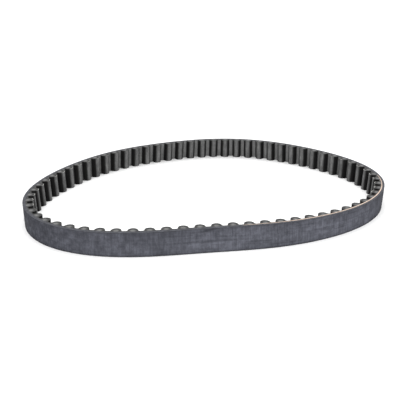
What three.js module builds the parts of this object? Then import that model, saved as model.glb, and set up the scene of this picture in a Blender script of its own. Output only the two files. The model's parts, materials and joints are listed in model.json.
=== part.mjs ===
// A toothed timing belt, lying loose on its edge: an endless band with round teeth inside.
//
// Four bonded layers follow one closed line, the pitch line, where the tensile cords run.
// From outside to inside they are the backing, the cords, the tooth rubber and the tooth
// fabric. Rubber bends anywhere, so for motion the band is divided at its lands into short
// spans that turn about upright axes on the pitch line. Millimetres, +Z up, Z = 0 underneath.

import * as THREE from 'three';

// ---- The belt: 8 mm pitch, round teeth ----
const PITCH = 8;
const TOOTH_COUNT = 69;
const BELT_WIDTH = 12;
const BACK_OFFSET = 1.53;          // pitch line out to the smooth back
const LAND_DEPTH = 0.686;          // pitch line in to the flat between two teeth
const TOOTH_HEIGHT = 3.38;
const TOOTH_RADIUS = 2.57;
const CORD_THICKNESS = 0.5;
const FABRIC_THICKNESS = 0.25;
const BOND_GAP = 0.02;             // between bonded layers

// ---- The loop it rests in: a circle that swells and shrinks in waves ----
const LOOP_WAVES = [
  { lobes: 2, swell: 0.139, at: 19.3 },  // swell is a share of the radius, at is in degrees
  { lobes: 3, swell: 0.057, at: -22.2 },
  { lobes: 4, swell: 0.008, at: 32 },
  { lobes: 5, swell: 0.015, at: 0.6 },
];
const LOOP_START = -93;            // degrees, at the front, where a tooth stands
const LOOP_STEPS = 5600;           // for measuring along the line

// ---- The spans ----
const TEETH_PER_SPAN = 5;
const SPANS_EACH_WAY = 6;          // whole spans on each side, between the front and the back
const TEETH_PER_END = 2;           // the span at the back is parted into two short ends
const FLEX_GAP = 0.6;              // between two spans, so that they can turn

// ---- Smoothness ----
const STEPS_PER_LAYER = 8;
const TIP_STEPS = 6;
const FILLET_STEPS = 2;

const LENGTH = PITCH * TOOTH_COUNT;
const FRONT_SPAN_START = -PITCH * TEETH_PER_SPAN / 2;
const FILLET_RADIUS = TOOTH_HEIGHT - TOOTH_RADIUS;
const CORD_HALF = CORD_THICKNESS / 2;

// ---- The pitch line ----

class LoopLine extends THREE.Curve {
  constructor(radius) {
    super();
    this.radius = radius;
    this.arcLengthDivisions = LOOP_STEPS;
  }

  getPoint(t, target = new THREE.Vector2()) {
    const turn = THREE.MathUtils.degToRad(LOOP_START + 360 * t);
    let share = 1;
    for (const { lobes, swell, at } of LOOP_WAVES) {
      share += swell * Math.cos(lobes * (turn - THREE.MathUtils.degToRad(at)));
    }
    return target.set(Math.cos(turn), Math.sin(turn)).multiplyScalar(this.radius * share);
  }
}

function makePitchLine() {
  const unitLength = new LoopLine(1).getLength();
  return new LoopLine(LENGTH / unitLength);
}

const pitchLine = makePitchLine();

// A point at a distance along the belt and an offset out from the pitch line.
function beltPoint(along, offset) {
  const u = THREE.MathUtils.euclideanModulo(along, LENGTH) / LENGTH;
  const heading = pitchLine.getTangentAt(u);
  const point = pitchLine.getPointAt(u);
  return point.add(new THREE.Vector2(heading.y, -heading.x).multiplyScalar(offset));
}

// ---- Outlines, each a list of { along, offset } ----

function smoothRun(from, to, offset) {
  const run = [];
  for (let i = 0; i <= STEPS_PER_LAYER; i += 1) {
    run.push({ along: THREE.MathUtils.lerp(from, to, i / STEPS_PER_LAYER), offset });
  }
  return run;
}

function arc(middle, radius, fromDegrees, toDegrees, steps) {
  const run = [];
  for (let i = 0; i <= steps; i += 1) {
    const turn = THREE.MathUtils.degToRad(THREE.MathUtils.lerp(fromDegrees, toDegrees, i / steps));
    run.push({
      along: middle.along + radius * Math.cos(turn),
      offset: middle.offset + radius * Math.sin(turn),
    });
  }
  return run;
}

// One tooth: a fillet down from the land, a round tip, a fillet back. The inset moves the
// outline into the belt, which keeps every arc about the same centre.
function toothRun(centre, inset) {
  const middle = -(LAND_DEPTH + FILLET_RADIUS);
  const fillet = FILLET_RADIUS + inset;
  const reach = TOOTH_RADIUS + FILLET_RADIUS;
  const before = { along: centre - reach, offset: middle };
  const after = { along: centre + reach, offset: middle };
  return [
    ...arc(before, fillet, 90, 0, FILLET_STEPS),
    ...arc({ along: centre, offset: middle }, TOOTH_RADIUS - inset, -180, 0, TIP_STEPS),
    ...arc(after, fillet, 180, 90, FILLET_STEPS),
  ];
}

function toothedRun(span, inset) {
  const land = inset - LAND_DEPTH;
  const run = [{ along: span.from, offset: land }];
  for (let tooth = 0; tooth < span.teeth; tooth += 1) {
    run.push(...toothRun(span.firstTooth + tooth * PITCH, inset));
  }
  run.push({ along: span.to, offset: land });
  return run;
}

// A layer between an outer and an inner outline, as wide as the belt.
function layerGeometry(outer, inner) {
  const outline = [...outer, ...inner.toReversed()];
  const shape = new THREE.Shape(outline.map(({ along, offset }) => beltPoint(along, offset)));
  return new THREE.ExtrudeGeometry(shape, { depth: BELT_WIDTH, bevelEnabled: false });
}

// ---- Materials ----

const backRubber = () => new THREE.MeshStandardMaterial({
  color: 0x3f4347,
  roughness: 0.62,
  metalness: 0,
});

const toothRubber = () => new THREE.MeshStandardMaterial({
  color: 0x4a4d4b,
  roughness: 0.7,
  metalness: 0,
});

const cord = () => new THREE.MeshStandardMaterial({
  color: 0xb8a27c,
  roughness: 0.75,
  metalness: 0,
});

const nylonFabric = () => new THREE.MeshStandardMaterial({
  color: 0x2b2c2e,
  roughness: 0.8,
  metalness: 0,
});

// ---- Layers ----

function addLayer(group, name, geometry, material) {
  const mesh = new THREE.Mesh(geometry, material);
  mesh.name = name;
  group.add(mesh);
}

function addBacking(group, span) {
  const outer = smoothRun(span.from, span.to, BACK_OFFSET);
  const inner = smoothRun(span.from, span.to, CORD_HALF + BOND_GAP);
  addLayer(group, `${span.name}_backing`, layerGeometry(outer, inner), backRubber());
}

function addCords(group, span) {
  const outer = smoothRun(span.from, span.to, CORD_HALF);
  const inner = smoothRun(span.from, span.to, -CORD_HALF);
  addLayer(group, `${span.name}_tensile_cords`, layerGeometry(outer, inner), cord());
}

function addToothRubber(group, span) {
  const outer = smoothRun(span.from, span.to, -CORD_HALF - BOND_GAP);
  const inner = toothedRun(span, FABRIC_THICKNESS + BOND_GAP);
  addLayer(group, `${span.name}_tooth_rubber`, layerGeometry(outer, inner), toothRubber());
}

function addToothFabric(group, span) {
  const outer = toothedRun(span, FABRIC_THICKNESS);
  const inner = toothedRun(span, 0);
  addLayer(group, `${span.name}_tooth_fabric`, layerGeometry(outer, inner), nylonFabric());
}

// ---- Spans, counted anticlockwise from the front middle ----

function makeSpan(name, start, teeth) {
  return {
    name,
    teeth,
    from: start + FLEX_GAP / 2,
    to: start + teeth * PITCH - FLEX_GAP / 2,
    firstTooth: start + PITCH / 2,
  };
}

function listSpanTeeth() {
  const spans = [];
  const back = SPANS_EACH_WAY + 2;
  for (let number = 1; number <= back + SPANS_EACH_WAY; number += 1) {
    const name = `span_${String(number).padStart(2, '0')}`;
    if (number === back) {
      spans.push([`${name}a`, TEETH_PER_END], [`${name}b`, TEETH_PER_END]);
    } else {
      spans.push([name, TEETH_PER_SPAN]);
    }
  }
  return spans;
}

function listSpans() {
  const spans = [];
  let start = FRONT_SPAN_START;
  for (const [name, teeth] of listSpanTeeth()) {
    spans.push(makeSpan(name, start, teeth));
    start += teeth * PITCH;
  }
  return spans;
}

function makeBelt() {
  const belt = new THREE.Group();
  for (const span of listSpans()) {
    addBacking(belt, span);
    addCords(belt, span);
    addToothRubber(belt, span);
    addToothFabric(belt, span);
  }
  return belt;
}

// Stands the belt with the middle of its box over the origin.
function centre(belt) {
  const middle = new THREE.Box3().setFromObject(belt).getCenter(new THREE.Vector3());
  belt.position.set(-middle.x, -middle.y, 0);
  belt.updateMatrixWorld(true);
  return belt;
}

export default centre(makeBelt());
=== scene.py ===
"""A toothed timing belt standing on its cut edge, on a white table.

The belt is one closed band. Every layer follows the pitch line, a closed line in plan where
the tensile cords run. Places along the belt, offsets out from that line and heights are in
millimetres; the meshes are in metres. Along the belt, 0 is the front middle and the count goes
anticlockwise, seen from above. Each layer is made as one piece per hinge of the frame, from
the middle of a span to the middle of the next.
"""

import json
import math
from collections import namedtuple

import bpy
import numpy as np
from mathutils import Matrix, Vector


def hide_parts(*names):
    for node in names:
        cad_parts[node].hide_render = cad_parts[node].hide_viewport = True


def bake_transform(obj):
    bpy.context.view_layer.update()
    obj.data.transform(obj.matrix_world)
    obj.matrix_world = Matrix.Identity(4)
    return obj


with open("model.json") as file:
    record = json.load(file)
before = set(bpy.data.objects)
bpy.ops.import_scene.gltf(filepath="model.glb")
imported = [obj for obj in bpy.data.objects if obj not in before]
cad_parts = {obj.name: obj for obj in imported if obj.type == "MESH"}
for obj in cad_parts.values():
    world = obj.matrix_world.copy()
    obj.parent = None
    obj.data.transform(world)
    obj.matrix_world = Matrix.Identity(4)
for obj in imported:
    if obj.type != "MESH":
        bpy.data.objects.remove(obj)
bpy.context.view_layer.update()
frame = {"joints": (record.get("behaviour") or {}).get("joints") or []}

MM = 0.001
ROUNDING = 1e-6             # places nearer to each other than this are the same place

# ---- The belt ----
PITCH = 8.0
TOOTH_COUNT = 69
BELT_WIDTH = 12.0
BACK_OFFSET = 1.53          # pitch line out to the smooth back
LAND_DEPTH = 0.686          # pitch line in to the flat between two teeth
TOOTH_HEIGHT = 3.38
TOOTH_RADIUS = 2.57
FABRIC_THICKNESS = 0.25
FABRIC_PROUD = 0.03         # the facing stands this much out of the cut edges
BOND_OFFSET = -0.1          # where the backing meets the tooth rubber, between the cords
EDGE_CHAMFER = 0.12         # on the backing's outer edges
LENGTH = PITCH * TOOTH_COUNT
FILLET_RADIUS = TOOTH_HEIGHT - TOOTH_RADIUS
TIP_MIDDLE = -(LAND_DEPTH + FILLET_RADIUS)  # offset of the centre of a tooth's round tip
TOOTH_REACH = TOOTH_RADIUS + FILLET_RADIUS  # from a tooth's middle to the start of the land

# ---- The loop it rests in: a circle that swells and shrinks in waves ----
LOOP_WAVES = (              # lobes, swell as a share of the radius, degrees where it swells
    (2, 0.139, 19.3),
    (3, 0.057, -22.2),
    (4, 0.008, 32.0),
    (5, 0.015, 0.6),
)
LOOP_START = -93.0          # degrees, at the front, where a tooth stands
LOOP_STEPS = 22000          # for measuring along the line
LEAN = -2.8                 # degrees that the wall leans out, to which a wave is added
LEAN_WAVE = 5.8
LEAN_LOBES = 2
LEAN_WAVE_AT = 4.4

# ---- Unevenness: how many waves go round the loop, and how far they reach ----
CUT_WAVES = (2, 5, 9, 23, 41)
CUT_RIPPLE = 0.03
LOWER_CUT_SEED = 4
UPPER_CUT_SEED = 3
BACK_WAVES = (7, 13, 29)
BACK_RIPPLE = 0.02
BACK_SEED = 8

# ---- The spans of the frame ----
SPAN_LENGTH = 40.0
LEAD_JOINT = "bend_01_02"   # at half a span length along the belt
ARMS = (                    # the spans from the front to the back, where the chain is open
    (1, ("01", "02", "03", "04", "05", "06", "07", "08a")),
    (-1, ("01", "14", "13", "12", "11", "10", "09", "08b")),
)
HEADING_STEP = 1.0          # to each side of a hinge, for the belt's direction there
BLEND_MARGIN = 1.0          # the two points round a hinge stop this far short of the piece's nearer end
END_GAP = 0.02              # between the two ends at the back, so that they never touch

# ---- The cords, wound in pairs of opposite twist ----
CORD_RADIUS = 0.33
CORD_SPACING = 1.45         # from one cord to the next, across the belt
CORDS_WOUND = 2             # side by side, so that each climbs by this many spacings in a turn
CUT_CORD_MIDDLE = 84.0      # along the belt, where the upper cut goes through a cord's middle
CUT_PROUD = 0.03            # the cut cord stands this much above the cut rubber
CUT_BURIED = 0.04           # the other twist stays this much under it
CORD_SLIVER = 0.01          # a strand thinner than this is left out

# ---- Smoothness ----
FILLET_STEPS = 5
TIP_STEPS = 16
LAND_STEPS = 2
WIDTH_STEPS = 6
BACK_STEP = 1.0             # along the belt
CORD_STEP = 2.0             # along the belt
CORD_SIDES = 10
SHARP_ANGLE = 35.0          # degrees between two faces that meet in a sharp edge

# ---- Wear, painted shade and painted highlights. A stretch is where it begins, is full, is last full and ends, along the belt ----
# smudges from handling, over a stretch that also carries painted shade towards the left end of the
# loop
HANDLED_AND_SHADED_STRETCH = (-158.0, -118.0, -85.0, -10.0)
# painted shade over the right end of the loop
RIGHT_END_SHADE_STRETCH = (92.0, 118.0, 170.0, 215.0)
RIGHT_END_SHADE_AMOUNT = 0.7
# painted highlights on the facing's cut edge at the crests, at both ends of the loop
CREST_GLINT_STRETCH = (92.0, 112.0, 175.0, 215.0)    # counted both ways from the front
CREST_GLINT_OFFSETS = (-3.7, -3.0)   # from full, on a tooth's crest, to none, on its flank
SCUFF = {"middle": (5.0, 11.3), "size": (7.5, 0.9), "slant": 0.18}
RUB = {"middle": (2.0, 5.7), "size": (26.0, 0.8), "slant": 0.0}
RUB_AMOUNT = 0.55
MARK_CORE = 0.4             # the share of a mark's size at which it begins to fade
BELLY_HEIGHT = 4.6          # where the back is palest, in painted shading by height
BELLY_REACH = 6.5           # from there to where it is darkest
BELLY_SHADE_TONES = (0.024, -0.036)   # added to the back's tone at those two heights
LOWER_EDGE_SHADE_HEIGHTS = (0.2, 0.9)     # painted shade along the lower edge, where the back stands on the table: darkest below the first
UPPER_EDGE_HEIGHTS = (BELT_WIDTH - 0.7, BELT_WIDTH - 0.1)   # and the back is also darkest above the second of these
CORE_OFFSET = TIP_MIDDLE + 0.4  # of the centre of the pale core of a cut tooth
CORE_RADII = (0.7, 1.7)     # the core is full within the first and ends at the second
CREST_WIDTHS = (0.7, 2.0)   # painted shade over the facing from a crest: none to the first, full from the second
LAND_WIDTHS = (0.8, 1.5)    # the same from the middle of a land
LAND_HIGHLIGHT_WIDTHS = (0.7, 1.3)     # and for the painted highlight on the land
# how fully painted shade darkens the flanks
FLANK_SHADE_AMOUNT = 0.98
FLANK_ROUGHNESS = 0.3       # added on the flanks

# ---- Colours: (place on a noise, grey level), and the tints that levels are multiplied by ----
NO_TINT = (1.0, 1.0, 1.0)
BACK_TINT = (0.95, 0.98, 1.17)
CUT_TINT = (1.0, 1.0, 0.99)
BACK_TONES = ((0.40, 0.047), (0.50, 0.076), (0.60, 0.115))
CUT_TONES = ((0.36, 0.5), (0.52, 1.0), (0.66, 1.7))     # shares of the rubber's own level
FACING_TONES = ((0.38, 0.066), (0.50, 0.118), (0.62, 0.190))
CUT_FACING_TONES = ((0.42, 0.010), (0.62, 0.03), (0.76, 0.20))
CORD_COLOURS = (
    (0.30, (0.34, 0.25, 0.19)),
    (0.50, (0.60, 0.46, 0.37)),
    (0.70, (0.80, 0.66, 0.57)),
)
# the dark marks on the back, and the painted shade over the ends of the loop
WORN_AND_SHADED_BACK_LEVEL = 0.032
# the painted shade along the lower edge, and the darker band along the upper edge
BACK_EDGE_COLOUR = (0.02, 0.021, 0.024)
CUT_BACK_LEVEL = 0.052
TOOTH_LEVEL = 0.05
CUT_TOOTH_LEVEL = 0.032
CORE_LEVEL = 0.165
# painted highlight on the lands
LAND_HIGHLIGHT_LEVEL = 0.25
# painted shade on the flanks
FLANK_SHADE_LEVEL = 0.002
THREAD_GAP_LEVEL = 0.012
# painted highlights on the crests at the ends of the loop
CREST_GLINT_COLOUR = (0.55, 0.55, 0.52)
RUBBER_BUMP = 0.0001        # metres
FABRIC_BUMP = 0.00008

# ---- Table and light, in metres and watts ----
FLOOR_SIZE = 12.0
TABLE_WHITE = (0.96, 0.96, 0.96)
TABLE_ROUGHNESS = 0.9
TABLE_SPECULAR = 0.1
WORLD_STRENGTH = 1.05
SOFTBOXES = (               # name, place, what it points at, size, power
    ("overhead softbox", (0.0, 0.5, 1.4), (0.0, 0.1, 0.0), (1.2, 1.2), 9.0),
    ("front softbox", (0.05, -1.3, 0.7), (0.0, 0.0, 0.0), (0.7, 0.6), 10.0),
)

# ---- Camera ----
CAMERA_ELEVATION = 20.95    # degrees
CAMERA_ROLL = 0.128         # degrees
CAMERA_DISTANCE = 396.4     # from its target
CAMERA_TARGET = (-5.20, -5.75)  # on the table
CAMERA_LENS = 62.73
SENSOR_WIDTH = 36.0
CLIP_START = 0.01           # metres


# ================================================================ the pitch line

class PitchLine:
    """The closed line in plan, measured along its length, and how far the wall leans there."""

    def __init__(self):
        turn = np.radians(LOOP_START + 360.0 * np.linspace(0.0, 1.0, LOOP_STEPS + 1))
        share = np.ones_like(turn)
        for lobes, swell, at in LOOP_WAVES:
            share += swell * np.cos(lobes * (turn - math.radians(at)))
        points = np.stack([np.cos(turn), np.sin(turn)], axis=1) * share[:, None]
        along = surface_lengths(points)
        scale = LENGTH / along[-1]
        self.along = along * scale
        self.points = points * scale
        around = np.vstack([points[-2], points, points[1]])
        slope = around[2:] - around[:-2]
        self.heading = np.unwrap(np.arctan2(slope[:, 1], slope[:, 0]))
        lean = LEAN + LEAN_WAVE * np.cos(LEAN_LOBES * (turn - math.radians(LEAN_WAVE_AT)))
        self.lean = np.tan(np.radians(lean))
        lead = next(joint for joint in frame["joints"] if joint["name"] == LEAD_JOINT)
        self.points += np.array(lead["pos_m"][:2]) / MM - self.at(SPAN_LENGTH / 2, 0.0)[0]

    def at(self, along, offset):
        """Points in plan, in millimetres, at distances along the belt and offsets out."""
        along = np.mod(np.atleast_1d(np.asarray(along, float)), LENGTH)
        x = np.interp(along, self.along, self.points[:, 0])
        y = np.interp(along, self.along, self.points[:, 1])
        heading = np.interp(along, self.along, self.heading)
        return np.stack([x + offset * np.sin(heading), y - offset * np.cos(heading)], axis=1)

    def wall(self, along, offset, height):
        """Points of the leaning wall, in metres."""
        lean = np.interp(np.mod(along, LENGTH), self.along, self.lean)
        plan = self.at(along, offset + lean * (height - BELT_WIDTH / 2))
        return np.column_stack([plan, height]) * MM


def surface_lengths(outline):
    """How far each point of an outline is from its first, measured along it."""
    steps = np.linalg.norm(np.diff(outline, axis=0), axis=1)
    return np.concatenate([[0.0], np.cumsum(steps)])


pitch_line = PitchLine()


# ================================================================ outlines

def ripple(along, waves, seed):
    """A small unevenness round the loop, between about -1 and 1, that joins up with itself."""
    turn = 2 * np.pi * np.asarray(along, float) / LENGTH
    rng = np.random.default_rng(seed)
    total = np.zeros_like(turn)
    for wave in waves:
        total += np.sin(wave * turn + rng.uniform(0, 2 * np.pi))
    return total / len(waves)


def cut_heights(along):
    """Heights of the lower and the upper cut edge: a knife leaves them slightly wavy."""
    low = CUT_RIPPLE + CUT_RIPPLE * ripple(along, CUT_WAVES, LOWER_CUT_SEED)
    high = BELT_WIDTH - CUT_RIPPLE + CUT_RIPPLE * ripple(along, CUT_WAVES, UPPER_CUT_SEED)
    return low, high


def arc(middle, radius, start, end, steps):
    """Points of an arc between two angles in degrees."""
    turn = np.radians(np.linspace(start, end, steps + 1))
    return np.stack([middle[0] + radius * np.cos(turn), middle[1] + radius * np.sin(turn)], axis=1)


def tooth_outline(inset):
    """One pitch, from land middle to land middle, as (along from the tooth's middle, offset)."""
    fillet = FILLET_RADIUS + inset
    before = arc((-TOOTH_REACH, TIP_MIDDLE), fillet, 90, 0, FILLET_STEPS)
    tip = arc((0.0, TIP_MIDDLE), TOOTH_RADIUS - inset, -180, 0, TIP_STEPS)
    after = arc((TOOTH_REACH, TIP_MIDDLE), fillet, 180, 90, FILLET_STEPS)
    lead_in = np.linspace(-PITCH / 2, -TOOTH_REACH, LAND_STEPS + 1)[:-1]
    lead_out = -lead_in[::-1]
    land = np.full(LAND_STEPS, inset - LAND_DEPTH)
    return np.vstack([
        np.stack([lead_in, land], axis=1),
        before,
        tip[1:],
        after[1:],
        np.stack([lead_out, land], axis=1),
    ])


def toothed_run(start, end, inset):
    """The toothed side between two places: along, offset, and length over its surface.

    The surface is counted from the crest of the tooth at the front middle.
    """
    one = tooth_outline(inset)
    lengths = surface_lengths(one)
    along, offset, surface = [], [], []
    for tooth in range(math.floor(start / PITCH) - 1, math.ceil(end / PITCH) + 2):
        along.append(one[:-1, 0] + tooth * PITCH)
        offset.append(one[:-1, 1])
        surface.append(lengths[:-1] + (tooth - 0.5) * lengths[-1])
    along, offset, surface = (np.concatenate(part) for part in (along, offset, surface))
    inside = (along > start + ROUNDING) & (along < end - ROUNDING)
    places = np.concatenate([[start], along[inside], [end]])
    return places, np.interp(places, along, offset), np.interp(places, along, surface)


# ================================================================ meshes

SKIN_SLOT = 0
CUT_SLOT = 1

# A point of a layer's cross-section, on its outer or inner side: how far it is in from the outer
# skin, its share of the height between the cut edges, and how far it is shifted up from there.
Station = namedtuple("Station", "side inset share shift")


def belt_mesh(name, points, faces, uvs):
    """A smoothly shaded mesh. Its UVs are places on the belt, in millimetres."""
    mesh = bpy.data.meshes.new(name)
    mesh.from_pydata(points, [], faces)
    mesh.uv_layers.new(name="belt").data.foreach_set("uv", np.array(uvs, np.float32).ravel())
    mesh.polygons.foreach_set("use_smooth", [True] * len(faces))
    mesh.update()
    return mesh


def grid_mesh(name, points, strip_uvs, strip_slots):
    """A closed bar from a grid of points, (places along, stations round, 3), in metres."""
    count, stations = points.shape[:2]
    faces, uvs, slots = [], [], []
    for station in range(stations):
        after = (station + 1) % stations
        near, far = strip_uvs[station]
        for place in range(count - 1):
            here, there = place * stations, (place + 1) * stations
            faces.append((here + station, there + station, there + after, here + after))
            uvs += [near[place], near[place + 1], far[place + 1], far[place]]
            slots.append(strip_slots[station])
    last = (count - 1) * stations
    faces.append(tuple(range(stations)))
    faces.append(tuple(reversed(range(last, last + stations))))
    uvs += [(0.0, 0.0)] * (2 * stations)
    slots += [CUT_SLOT] * 2
    mesh = belt_mesh(name, points.reshape(-1, 3).tolist(), faces, uvs)
    mesh.polygons.foreach_set("material_index", slots)
    mesh.set_sharp_from_angle(angle=math.radians(SHARP_ANGLE))
    mesh.update()
    return mesh


def section(chamfer=0.0, proud=0.0):
    """Stations up the outer skin, over the upper cut edge, down the inner skin and back under.

    A chamfer takes off the outer skin's edges. A proud inner skin stands out of the cut edges.
    """
    shares = [step / WIDTH_STEPS for step in range(WIDTH_STEPS + 1)]
    outer = [Station("outer", 0.0, share, 0.0) for share in shares]
    inner = [Station("inner", 0.0, share, 0.0) for share in reversed(shares)]
    outer[0] = outer[0]._replace(shift=chamfer)
    outer[-1] = outer[-1]._replace(shift=-chamfer)
    inner[0] = inner[0]._replace(shift=proud)
    inner[-1] = inner[-1]._replace(shift=-proud)
    if not chamfer:
        return outer + inner
    return [*outer, Station("outer", chamfer, 1.0, 0.0), *inner, Station("outer", chamfer, 0.0, 0.0)]


def layer_mesh(name, along, outer, inner, surface, stations):
    """A layer between two offsets, with one material for its skins and one for its cut edges."""
    low, high = cut_heights(along)
    offsets, heights = [], []
    for station in stations:
        offset = outer - station.inset if station.side == "outer" else inner
        offsets.append(np.broadcast_to(offset, along.shape))
        heights.append(low + (high - low) * station.share + station.shift)
    columns = [pitch_line.wall(along, *place) for place in zip(offsets, heights)]
    strip_uvs, strip_slots = [], []
    for index, station in enumerate(stations):
        after = (index + 1) % len(stations)
        skin = station.side == stations[after].side and station.share != stations[after].share
        run = surface if skin and station.side == "inner" else along
        across = heights if skin else offsets
        strip_uvs.append([np.stack([run, across[edge]], 1).tolist() for edge in (index, after)])
        strip_slots.append(SKIN_SLOT if skin else CUT_SLOT)
    return grid_mesh(name, np.stack(columns, axis=1), strip_uvs, strip_slots)


def backing_mesh(name, start, end):
    along = np.linspace(start, end, round((end - start) / BACK_STEP) + 1)
    outer = BACK_OFFSET + BACK_RIPPLE * ripple(along, BACK_WAVES, BACK_SEED) - BACK_RIPPLE
    return layer_mesh(name, along, outer, BOND_OFFSET, along, section(chamfer=EDGE_CHAMFER))


def tooth_rubber_mesh(name, start, end):
    along, inner, surface = toothed_run(start, end, FABRIC_THICKNESS)
    return layer_mesh(name, along, BOND_OFFSET, inner, surface, section())


def tooth_fabric_mesh(name, start, end):
    along, inner, surface = toothed_run(start, end, 0.0)
    under_along, under_offset, _ = toothed_run(start, end, FABRIC_THICKNESS)
    outer = np.interp(along, under_along, under_offset)
    return layer_mesh(name, along, outer, inner, surface, section(proud=FABRIC_PROUD))


def cord_ring(middle, low, high):
    """A cord's section as (offset, height), cut flat where it runs out of the belt's edges."""
    turn = 2 * np.pi * np.arange(CORD_SIDES) / CORD_SIDES
    offset = CORD_RADIUS * np.cos(turn)
    height = middle + CORD_RADIUS * np.sin(turn)
    for edge, beyond in ((high, height > high), (low, height < low)):
        half_chord = math.sqrt(max(CORD_RADIUS**2 - (edge - middle) ** 2, 0.0))
        offset = np.where(beyond, np.clip(offset, -half_chord, half_chord), offset)
    return offset, np.clip(height, low, high)


def cord_strand(along, middle, low, high):
    """The part of one strand that lies between the cut edges: its points and its places along."""
    inside = (middle + CORD_RADIUS > low + CORD_SLIVER) & (middle - CORD_RADIUS < high - CORD_SLIVER)
    places = np.flatnonzero(inside)
    points = []
    for place in places:
        offset, height = cord_ring(middle[place], low[place], high[place])
        points += pitch_line.wall(np.full(CORD_SIDES, along[place]), offset, height).tolist()
    return points, along[places]


def strand_faces(first, places):
    """Faces and UVs of a closed tube with a ring at each place, from the point number first."""
    faces, uvs = [], []
    for row, (near, far) in enumerate(zip(places, places[1:])):
        here = first + row * CORD_SIDES
        there = here + CORD_SIDES
        for side in range(CORD_SIDES):
            after = (side + 1) % CORD_SIDES
            faces.append((here + side, here + after, there + after, there + side))
            v, w = side / CORD_SIDES, (side + 1) / CORD_SIDES
            uvs += [(near, v), (near, w), (far, w), (far, v)]
    last = first + (len(places) - 1) * CORD_SIDES
    faces.append(tuple(reversed(range(first, first + CORD_SIDES))))
    faces.append(tuple(range(last, last + CORD_SIDES)))
    uvs += [(places[0], 0.0)] * CORD_SIDES + [(places[-1], 0.0)] * CORD_SIDES
    return faces, uvs


def cords_mesh(name, start, end):
    """Every turn of the two cords that passes this stretch, cut off flat at the belt's edges."""
    along = np.linspace(start, end, round((end - start) / CORD_STEP) + 1)
    climb = (along - CUT_CORD_MIDDLE) / LENGTH * CORDS_WOUND * CORD_SPACING
    low_cut, high_cut = cut_heights(along)
    points, faces, uvs = [], [], []
    for turn in range(-1, math.ceil(BELT_WIDTH / CORD_SPACING) + 2):
        proud = CUT_PROUD if turn % CORDS_WOUND == 0 else -CUT_BURIED
        middle = BELT_WIDTH - turn * CORD_SPACING + climb
        strand, places = cord_strand(along, middle, low_cut - proud, high_cut + proud)
        if len(places) > 1:
            new_faces, new_uvs = strand_faces(len(points), places)
            points += strand
            faces += new_faces
            uvs += new_uvs
    return belt_mesh(name, points, faces, uvs)


# ================================================================ materials

MIX_COLOURS = (6, 7)        # the Mix node's colour sockets
MIX_RESULT = 2


def opaque(colour):
    return (*colour, 1.0)


def grey(level, tint=NO_TINT):
    return opaque(level * part for part in tint)


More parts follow.
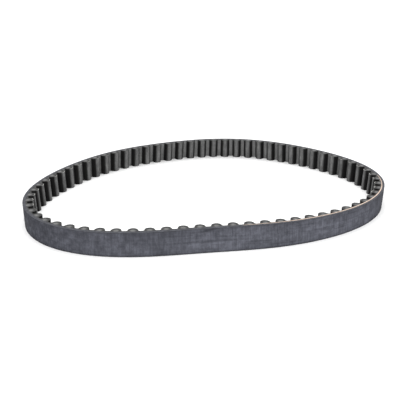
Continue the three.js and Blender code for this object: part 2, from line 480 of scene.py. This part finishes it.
class Nodes:
    """A material, and a short way to write its nodes."""

    def __init__(self, name):
        self.material = bpy.data.materials.new(name)
        self.material.use_nodes = True
        self.tree = self.material.node_tree
        self.shader = self.tree.nodes["Principled BSDF"]

    def add(self, kind, inputs=None, **settings):
        node = self.tree.nodes.new(kind)
        for key, value in settings.items():
            setattr(node, key, value)
        for key, value in (inputs or {}).items():
            self.feed(node.inputs[key], value)
        return node

    def feed(self, socket, value):
        if isinstance(value, bpy.types.NodeSocket):
            self.tree.links.new(value, socket)
        else:
            socket.default_value = value

    # Coordinates and textures

    def belt_uv(self):
        return self.add("ShaderNodeUVMap", uv_map="belt").outputs["UV"]

    def belt_axes(self):
        """How far along the belt, and how far up it (or out, on a cut edge), in millimetres."""
        apart = self.add("ShaderNodeSeparateXYZ", {"Vector": self.belt_uv()})
        return apart.outputs["X"], apart.outputs["Y"]

    def scaled(self, vector, scale):
        return self.add("ShaderNodeMapping", {"Vector": vector, "Scale": scale}).outputs["Vector"]

    def belt_place(self, along, across):
        return self.scaled(self.belt_uv(), (along, across, 1.0))

    def texture(self, vector, scale, detail, rough):
        inputs = {"Vector": vector, "Scale": scale, "Detail": detail, "Roughness": rough}
        return self.add("ShaderNodeTexNoise", inputs).outputs["Fac"]

    def noise(self, scale, detail, rough, upright=1.0):
        """A noise in space; the scale is per metre, and is multiplied by upright along Z."""
        coords = self.add("ShaderNodeTexCoord").outputs["Object"]
        return self.texture(self.scaled(coords, (1.0, 1.0, upright)), scale, detail, rough)

    def belt_noise(self, along, across, detail, rough):
        """A noise on the belt's surface; along and across are scales per millimetre."""
        return self.texture(self.belt_place(along, across), 1.0, detail, rough)

    # Arithmetic

    def math(self, operation, a, b=0.0):
        return self.add("ShaderNodeMath", {0: a, 1: b}, operation=operation).outputs[0]

    def times(self, first, *others):
        for other in others:
            first = self.math("MULTIPLY", first, other)
        return first

    def largest(self, first, *others):
        for other in others:
            first = self.math("MAXIMUM", first, other)
        return first

    def blend_of(self, *parts):
        """The sum of values, each (value, share)."""
        total = 0.0
        for value, share in parts:
            inputs = {0: value, 1: share, 2: total}
            total = self.add("ShaderNodeMath", inputs, operation="MULTIPLY_ADD").outputs[0]
        return total

    def remap(self, value, before, after):
        """A value that goes from the first of after to the second, and stays there."""
        inputs = {"Value": value, "From Min": before[0], "From Max": before[1],
                  "To Min": after[0], "To Max": after[1]}
        return self.add("ShaderNodeMapRange", inputs).outputs["Result"]

    def distance(self, a, b):
        return self.math("SQRT", self.math("ADD", self.times(a, a), self.times(b, b)))

    def stretch(self, along, places):
        """1 between the two inner places along the belt, fading to 0 at the outer two."""
        begins = self.remap(along, places[:2], (0.0, 1.0))
        ends = self.remap(along, places[2:], (1.0, 0.0))
        return self.times(begins, ends)

    def oval(self, along, height, middle, size, slant):
        """A mark on the back, 1 inside and fading to 0 at its rim; slant is its rise per length."""
        aside = self.math("SUBTRACT", along, middle[0])
        above = self.math("SUBTRACT", height, middle[1])
        level = self.math("SUBTRACT", above, self.times(aside, slant))
        across = self.math("DIVIDE", aside, size[0])
        up = self.math("DIVIDE", level, size[1])
        return self.remap(self.distance(across, up), (MARK_CORE, 1.0), (1.0, 0.0))

    # Colours and the shader

    def ramp(self, value, stops):
        node = self.add("ShaderNodeValToRGB", {"Fac": value})
        elements = node.color_ramp.elements
        while len(elements) < len(stops):
            elements.new(1.0)
        for element, (where, colour) in zip(elements, stops):
            element.position = where
            element.color = colour
        return node.outputs["Color"]

    def tones(self, value, stops, tint=NO_TINT):
        return self.ramp(value, [(where, grey(level, tint)) for where, level in stops])

    def mix(self, amount, below, above):
        """One colour laid over another, by an amount from 0 to 1."""
        node = self.add("ShaderNodeMix", data_type="RGBA")
        self.feed(node.inputs["Factor"], amount)
        for socket, colour in zip(MIX_COLOURS, (below, above)):
            self.feed(node.inputs[socket], colour)
        return node.outputs[MIX_RESULT]

    def bump(self, height, strength, distance):
        inputs = {"Height": height, "Strength": strength, "Distance": distance}
        return self.add("ShaderNodeBump", inputs).outputs["Normal"]

    def finish(self, colour, roughness, normal, specular):
        self.feed(self.shader.inputs["Base Color"], colour)
        self.feed(self.shader.inputs["Roughness"], roughness)
        self.feed(self.shader.inputs["Normal"], normal)
        self.shader.inputs["Specular IOR Level"].default_value = specular
        return self.material


def back_wear_and_shade(m, along, height, blotch):
    """Where the back is dull and dark: smears, a stretch of smudges from handling that also carries
    painted shade towards the left end of the loop, painted shade over the right end, a scuff and a
    rub line.
    """
    mottle = m.remap(blotch, (0.35, 0.6), (1.0, 0.4))
    streak = m.belt_noise(along=0.05, across=0.75, detail=3.0, rough=0.6)
    smear = m.times(m.remap(streak, (0.52, 0.64), (0.0, 0.55)), mottle)
    patchy = m.remap(blotch, (0.32, 0.64), (0.85, 0.3))
    # smudges from handling, with painted shade towards the left end of the loop
    handled_and_shaded = m.times(m.stretch(along, HANDLED_AND_SHADED_STRETCH), patchy)
    # painted shade over the right end of the loop
    right_end_shade = m.times(m.stretch(along, RIGHT_END_SHADE_STRETCH), RIGHT_END_SHADE_AMOUNT)
    scuff = m.oval(along, height, **SCUFF)
    rub = m.times(m.oval(along, height, **RUB), RUB_AMOUNT)
    marks = m.times(m.largest(scuff, rub), m.remap(blotch, (0.35, 0.6), (1.0, 0.7)))
    return m.largest(smear, handled_and_shaded, right_end_shade, marks)


def ground_back():
    """The smooth back: ground rubber, blue-grey, with fine lines across the belt, dark marks, and
    painted shade by height, along the lower edge and over the ends of the loop.
    """
    m = Nodes("ground back rubber")
    along, height = m.belt_axes()
    blotch = m.noise(scale=330.0, detail=5.0, rough=0.7)
    patch = m.noise(scale=24.0, detail=3.0, rough=0.5, upright=2.2)
    grain = m.noise(scale=2600.0, detail=2.0, rough=0.6)
    lines = m.belt_noise(along=1.3, across=0.07, detail=4.0, rough=0.85)
    drag = m.belt_noise(along=0.05, across=1.1, detail=5.0, rough=0.65)
    tone = m.blend_of((blotch, 0.36), (patch, 0.18), (lines, 0.36), (drag, 0.1))
    # painted shading by height: palest a little below mid height, darker towards the edges
    from_belly = m.math("ABSOLUTE", m.math("SUBTRACT", height, BELLY_HEIGHT))
    shade = m.math("ADD", tone, m.remap(from_belly, (0.0, BELLY_REACH), BELLY_SHADE_TONES))
    colour = m.tones(shade, BACK_TONES, BACK_TINT)
    # dark marks, and painted shade over the ends of the loop
    wear_and_shade = back_wear_and_shade(m, along, height, blotch)
    colour = m.mix(wear_and_shade, colour, grey(WORN_AND_SHADED_BACK_LEVEL, BACK_TINT))
    # painted shade along the lower edge, where the back stands on the table; the back is also darker
    # along its upper edge
    lower_edge_shade = m.remap(height, LOWER_EDGE_SHADE_HEIGHTS, (0.75, 0.0))
    upper_edge = m.remap(height, UPPER_EDGE_HEIGHTS, (0.0, 0.45))
    colour = m.mix(m.largest(lower_edge_shade, upper_edge), colour, opaque(BACK_EDGE_COLOUR))
    rough = m.remap(tone, (0.38, 0.62), (0.75, 0.6))
    normal = m.bump(m.blend_of((lines, 0.7), (grain, 0.3)), strength=0.5, distance=RUBBER_BUMP)
    return m.finish(colour, rough, normal, specular=0.02)


def pale_core(m, tone):
    """The middle of a cut tooth, where the rubber is paler."""
    along, offset = m.belt_axes()
    aside = m.math("PINGPONG", along, PITCH / 2)
    inward = m.math("SUBTRACT", offset, CORE_OFFSET)
    core = m.remap(m.distance(aside, inward), CORE_RADII, (1.0, 0.0))
    return m.times(core, m.remap(tone, (0.38, 0.58), (0.45, 1.0)))


def cut_rubber(name, level, tint, core_level=0.0):
    """Rubber where the knife went through: drag lines, grit and, in a tooth, a pale core."""
    m = Nodes(name)
    cloud = m.noise(scale=420.0, detail=5.0, rough=0.7)
    grit = m.noise(scale=3200.0, detail=3.0, rough=0.7)
    drag = m.belt_noise(along=0.9, across=7.0, detail=4.0, rough=0.65)
    tone = m.blend_of((cloud, 0.6), (drag, 0.4))
    colour = m.tones(tone, [(where, level * share) for where, share in CUT_TONES], tint)
    if core_level:
        colour = m.mix(pale_core(m, tone), colour, grey(core_level, tint))
    rough = m.remap(tone, (0.3, 0.7), (0.8, 0.6))
    normal = m.bump(m.blend_of((drag, 0.5), (grit, 0.5)), strength=0.6, distance=RUBBER_BUMP)
    return m.finish(colour, rough, normal, specular=0.3)


def woven_facing():
    """The nylon facing of the teeth: a fine weave, pale on crests and lands, with painted shade on
    the flanks and a painted highlight on the lands.
    """
    m = Nodes("woven nylon facing")
    threads = {"Vector": m.belt_place(1.0, 1.0), "Scale": 1.05, "Distortion": 0.6,
               "Detail": 1.0, "Detail Scale": 0.6}
    warp = m.add("ShaderNodeTexWave", threads, bands_direction="X").outputs["Fac"]
    weft = m.add("ShaderNodeTexWave", threads, bands_direction="Y").outputs["Fac"]
    weave = m.times(warp, weft)
    cloud = m.noise(scale=160.0, detail=6.0, rough=0.7)
    fuzz = m.noise(scale=3000.0, detail=3.0, rough=0.7)
    streak = m.belt_noise(along=1.3, across=0.12, detail=5.0, rough=0.7)
    tone = m.blend_of((cloud, 0.5), (streak, 0.5))
    half_pitch = surface_lengths(tooth_outline(0.0))[-1] / 2
    from_crest = m.math("PINGPONG", m.belt_axes()[0], half_pitch)
    from_land = m.math("SUBTRACT", half_pitch, from_crest)
    off_crest = m.remap(from_crest, CREST_WIDTHS, (0.0, 1.0))
    off_land = m.remap(from_land, LAND_WIDTHS, (0.0, 1.0))
    flank = m.times(off_crest, off_land)
    # painted highlight on the lands
    land = m.remap(from_land, LAND_HIGHLIGHT_WIDTHS, (0.35, 0.0))
    colour = m.mix(land, m.tones(tone, FACING_TONES), grey(LAND_HIGHLIGHT_LEVEL))
    # painted shade on the flanks
    colour = m.mix(m.times(flank, FLANK_SHADE_AMOUNT), colour, grey(FLANK_SHADE_LEVEL))
    colour = m.mix(m.remap(weave, (0.0, 0.8), (0.3, 0.0)), colour, grey(THREAD_GAP_LEVEL))
    rubbed_rough = m.remap(tone, (0.35, 0.65), (0.62, 0.5))
    rough = m.math("ADD", rubbed_rough, m.times(flank, FLANK_ROUGHNESS))
    normal = m.bump(m.blend_of((weave, 0.75), (fuzz, 0.25)), strength=0.5, distance=FABRIC_BUMP)
    return m.finish(colour, rough, normal, specular=0.1)


def cut_facing():
    """The facing's cut edge: dark threads, with painted highlights on the crests at the ends of the
    loop.
    """
    m = Nodes("cut nylon facing")
    along, offset = m.belt_axes()
    ends = m.belt_noise(along=3.2, across=1.0, detail=3.0, rough=0.7)
    fuzz = m.noise(scale=2400.0, detail=3.0, rough=0.7)
    # painted highlights on the crests at the ends of the loop
    crest_glint = m.times(
        m.stretch(m.math("ABSOLUTE", along), CREST_GLINT_STRETCH),
        m.remap(offset, CREST_GLINT_OFFSETS, (1.0, 0.0)),
        m.remap(ends, (0.38, 0.52), (0.2, 1.0)),
    )
    colour = m.mix(crest_glint, m.tones(ends, CUT_FACING_TONES), opaque(CREST_GLINT_COLOUR))
    rough = m.remap(fuzz, (0.3, 0.7), (0.85, 0.65))
    normal = m.bump(fuzz, strength=0.6, distance=FABRIC_BUMP)
    return m.finish(colour, rough, normal, specular=0.3)


def tensile_cord():
    """Twisted cord, cut lengthways: pale tan fibres with the slant of the twist."""
    m = Nodes("tensile cord")
    strands = {"Vector": m.belt_place(1.6, 1.0), "Scale": 0.6, "Distortion": 1.6,
               "Detail": 2.0, "Detail Scale": 1.2}
    twist = m.add("ShaderNodeTexWave", strands, bands_direction="DIAGONAL").outputs["Fac"]
    fray = m.belt_noise(along=1.3, across=1.0, detail=4.0, rough=0.7)
    tone = m.blend_of((twist, 0.35), (fray, 0.65))
    colour = m.ramp(tone, [(where, opaque(tan)) for where, tan in CORD_COLOURS])
    rough = m.remap(fray, (0.3, 0.7), (0.85, 0.6))
    normal = m.bump(tone, strength=0.5, distance=RUBBER_BUMP)
    return m.finish(colour, rough, normal, specular=0.3)


# ================================================================ pieces

BACK = ground_back()
CUT_BACK = cut_rubber("cut backing rubber", CUT_BACK_LEVEL, BACK_TINT)
TOOTH = cut_rubber("moulded tooth rubber", TOOTH_LEVEL, CUT_TINT)
CUT_TOOTH = cut_rubber("cut tooth rubber", CUT_TOOTH_LEVEL, CUT_TINT, CORE_LEVEL)
FACING = woven_facing()
CUT_FACING = cut_facing()
CORD = tensile_cord()

LAYERS = {                  # how it is built, its materials, and its slot in the record
    "backing": (backing_mesh, (BACK, CUT_BACK), "backing_rubber"),
    "tensile_cords": (cords_mesh, (CORD,), "tensile_cord"),
    "tooth_rubber": (tooth_rubber_mesh, (TOOTH, CUT_TOOTH), "tooth_rubber"),
    "tooth_fabric": (tooth_fabric_mesh, (FACING, CUT_FACING), "tooth_fabric"),
}


def hinge_reach(direction, number):
    """The stretch of belt round a hinge, and two points in plan on either side of it, along the belt
    there.
    """
    pivot = direction * (number + 0.5) * SPAN_LENGTH
    outer_end = min((number + 1) * SPAN_LENGTH, (LENGTH - END_GAP) / 2)
    stretch = sorted((direction * number * SPAN_LENGTH, direction * outer_end))
    step = direction * HEADING_STEP
    behind, ahead = pitch_line.at([pivot - step, pivot + step], 0.0)
    reach = (ahead - behind) / np.linalg.norm(ahead - behind)
    reach *= outer_end - abs(pivot) - BLEND_MARGIN
    middle = pitch_line.at(pivot, 0.0)[0]
    start, end = (Vector((*(place * MM), 0.0)) for place in (middle - reach, middle + reach))
    return stretch, start, end


def make_bend(direction, number, body, next_body):
    """One piece of every layer, round the hinge between two bodies."""
    stretch, start, end = hinge_reach(direction, number)
    for layer, (build, materials, slot) in LAYERS.items():
        name = f"{layer}_{body}_{next_body}"
        piece = bpy.data.objects.new(name, build(name, *stretch))
        bpy.context.scene.collection.objects.link(piece)
        for material in materials:
            piece.data.materials.append(material)
        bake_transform(piece)
        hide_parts(f"span_{next_body}_{layer}")
        if direction > 0 and number == 0:
            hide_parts(f"span_{body}_{layer}")


def make_pieces():
    for direction, bodies in ARMS:
        for number, (body, next_body) in enumerate(zip(bodies, bodies[1:])):
            make_bend(direction, number, body, next_body)


# ================================================================ table, light and camera

def make_floor():
    half = FLOOR_SIZE / 2
    corners = [(-half, -half, 0), (half, -half, 0), (half, half, 0), (-half, half, 0)]
    mesh = bpy.data.meshes.new("table")
    mesh.from_pydata(corners, [], [(0, 1, 2, 3)])
    floor = bpy.data.objects.new("table", mesh)
    bpy.context.scene.collection.objects.link(floor)
    paint = bpy.data.materials.new("white table")
    paint.use_nodes = True
    shader = paint.node_tree.nodes["Principled BSDF"]
    shader.inputs["Base Color"].default_value = opaque(TABLE_WHITE)
    shader.inputs["Roughness"].default_value = TABLE_ROUGHNESS
    shader.inputs["Specular IOR Level"].default_value = TABLE_SPECULAR
    mesh.materials.append(paint)


def make_light(name, place, target, size, power):
    data = bpy.data.lights.new(name, "AREA")
    data.shape = "RECTANGLE"
    data.size, data.size_y = size
    data.energy = power
    light = bpy.data.objects.new(name, data)
    light.location = place
    aim = Vector(target) - Vector(place)
    light.rotation_euler = aim.to_track_quat("-Z", "Y").to_euler()
    bpy.context.scene.collection.objects.link(light)


def make_world():
    world = bpy.data.worlds.new("studio")
    world.use_nodes = True
    background = world.node_tree.nodes["Background"]
    background.inputs["Color"].default_value = grey(1.0)
    background.inputs["Strength"].default_value = WORLD_STRENGTH
    bpy.context.scene.world = world


def make_camera():
    """A camera in front of the belt, looking down at a point of the table."""
    data = bpy.data.cameras.new("camera")
    data.lens = CAMERA_LENS
    data.sensor_width = SENSOR_WIDTH
    data.clip_start = CLIP_START
    camera = bpy.data.objects.new("camera", data)
    elevation = math.radians(CAMERA_ELEVATION)
    back = Vector((0.0, -math.cos(elevation), math.sin(elevation)))
    right = Vector((1.0, 0.0, 0.0))
    turn = Matrix((right, back.cross(right), back)).transposed()
    roll = Matrix.Rotation(math.radians(CAMERA_ROLL), 3, "Z")
    target = Vector((CAMERA_TARGET[0] * MM, CAMERA_TARGET[1] * MM, 0.0))
    place = Matrix.Translation(target + back * CAMERA_DISTANCE * MM)
    camera.matrix_world = place @ (turn @ roll).to_4x4()
    bpy.context.scene.collection.objects.link(camera)
    bpy.context.scene.camera = camera


make_pieces()
make_floor()
for softbox in SOFTBOXES:
    make_light(*softbox)
make_world()
make_camera()
bpy.context.scene.view_settings.view_transform = "Standard"
